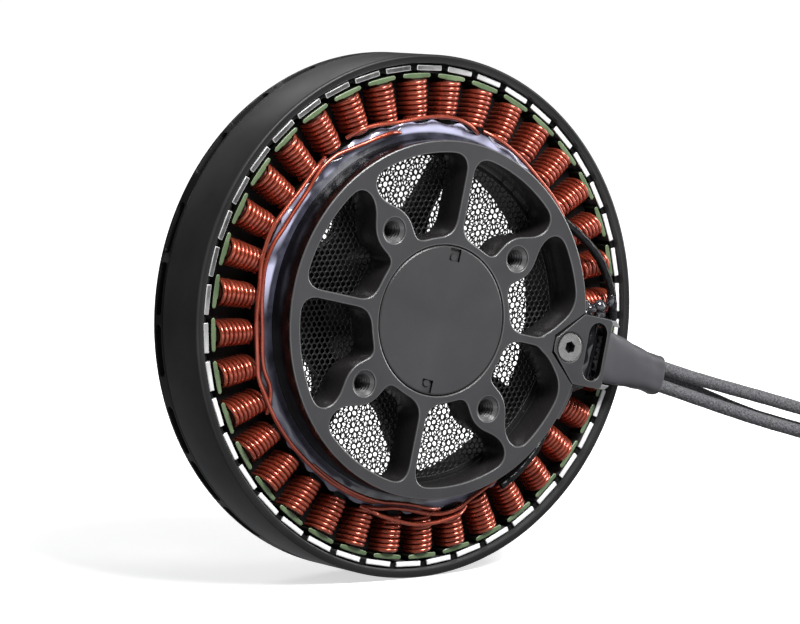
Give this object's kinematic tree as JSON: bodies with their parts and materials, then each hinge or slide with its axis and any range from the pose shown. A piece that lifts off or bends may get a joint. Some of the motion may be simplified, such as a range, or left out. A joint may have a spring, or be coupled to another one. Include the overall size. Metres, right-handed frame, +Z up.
{
  "type": "brushless outrunner motor",
  "caption": "Flat outrunner motor: spoked mounting base, copper-wound stator, spinning magnet ring and vented bell, ball bearings and three braided leads.",
  "frame": {"origin": "on the shaft axis, in the plane of the mounting face (the flush face of base and cap)", "axes": "+Y along the shaft from the mounting face to the bell, +Z up and +X right when looking along +Y at the mounting face; the leads leave towards +X"},
  "size_m": [0.1652, 0.026, 0.097],
  "materials": {
    "anodised_base": "dark grey satin anodised",
    "satin_black_bell": "black satin anodised",
    "satin_black_ring": "black satin coating on steel",
    "core_coating": "green epoxy insulation, slightly glossy",
    "enamelled_copper": "red enamelled copper wire",
    "potting_resin": "glossy translucent resin",
    "steel_screw": "bright steel",
    "heat_shrink": "matte grey heat shrink",
    "braided_cable": "grey braided sleeve",
    "black_tubing": "black tubing",
    "clear_glue": "clear hot glue",
    "dust_mesh": "black perforated sheet",
    "nickel_magnets": "nickel plated magnets",
    "shaft_steel": "ground steel",
    "spring_steel": "spring steel",
    "bearing_steel": "polished bearing steel"
  },
  "bodies": {
    "stator": {"stator_base": "anodised_base", "base_cap": "anodised_base", "stator_core": "core_coating", "phase_winding_a": "enamelled_copper", "phase_winding_b": "enamelled_copper", "phase_winding_c": "enamelled_copper", "winding_resin": "potting_resin", "cable_clamp": "anodised_base", "clamp_screw": "steel_screw", "heat_shrink_sleeve": "heat_shrink", "lead_cable_a": "braided_cable", "lead_cable_b": "braided_cable", "lead_cable_c": "braided_cable", "wire_sleeve_upper": "black_tubing", "wire_sleeve_lower": "black_tubing", "glue_drop": "clear_glue", "stator_mesh": "dust_mesh", "front_bearing_outer_race": "bearing_steel", "rear_bearing_outer_race": "bearing_steel", "preload_washer": "spring_steel"},
    "rotor": {"rotor_bell": "satin_black_bell", "flux_ring": "satin_black_ring", "magnet_ring": "nickel_magnets", "bell_mesh": "dust_mesh", "rotor_shaft": "shaft_steel", "front_bearing_inner_race": "bearing_steel", "rear_bearing_inner_race": "bearing_steel", "bearing_spacer": "anodised_base", "shaft_circlip": "spring_steel"},
    "front_ball_set": {"front_bearing_cage": "bearing_steel", "front_ball_01": "bearing_steel", "front_ball_02": "bearing_steel", "front_ball_03": "bearing_steel", "front_ball_04": "bearing_steel", "front_ball_05": "bearing_steel", "front_ball_06": "bearing_steel", "front_ball_07": "bearing_steel", "front_ball_08": "bearing_steel", "front_ball_09": "bearing_steel", "front_ball_10": "bearing_steel", "front_ball_11": "bearing_steel"},
    "rear_ball_set": {"rear_bearing_cage": "bearing_steel", "rear_ball_01": "bearing_steel", "rear_ball_02": "bearing_steel", "rear_ball_03": "bearing_steel", "rear_ball_04": "bearing_steel", "rear_ball_05": "bearing_steel", "rear_ball_06": "bearing_steel", "rear_ball_07": "bearing_steel", "rear_ball_08": "bearing_steel", "rear_ball_09": "bearing_steel", "rear_ball_10": "bearing_steel", "rear_ball_11": "bearing_steel"}
  },
  "joints": [
    {"name": "rotor_spin", "type": "hinge", "parent": "stator", "child": "rotor", "pos_m": [0, 0, 0], "axis": [0, 1, 0], "continuous": true},
    {"name": "front_cage_spin", "type": "hinge", "parent": "stator", "child": "front_ball_set", "pos_m": [0, 0, 0], "axis": [0, 1, 0], "continuous": true},
    {"name": "rear_cage_spin", "type": "hinge", "parent": "stator", "child": "rear_ball_set", "pos_m": [0, 0, 0], "axis": [0, 1, 0], "continuous": true}
  ],
  "couplings": [
    {"joint": "front_cage_spin", "follows": "rotor_spin", "ratio": 0.4333},
    {"joint": "rear_cage_spin", "follows": "rotor_spin", "ratio": 0.4333}
  ]
}
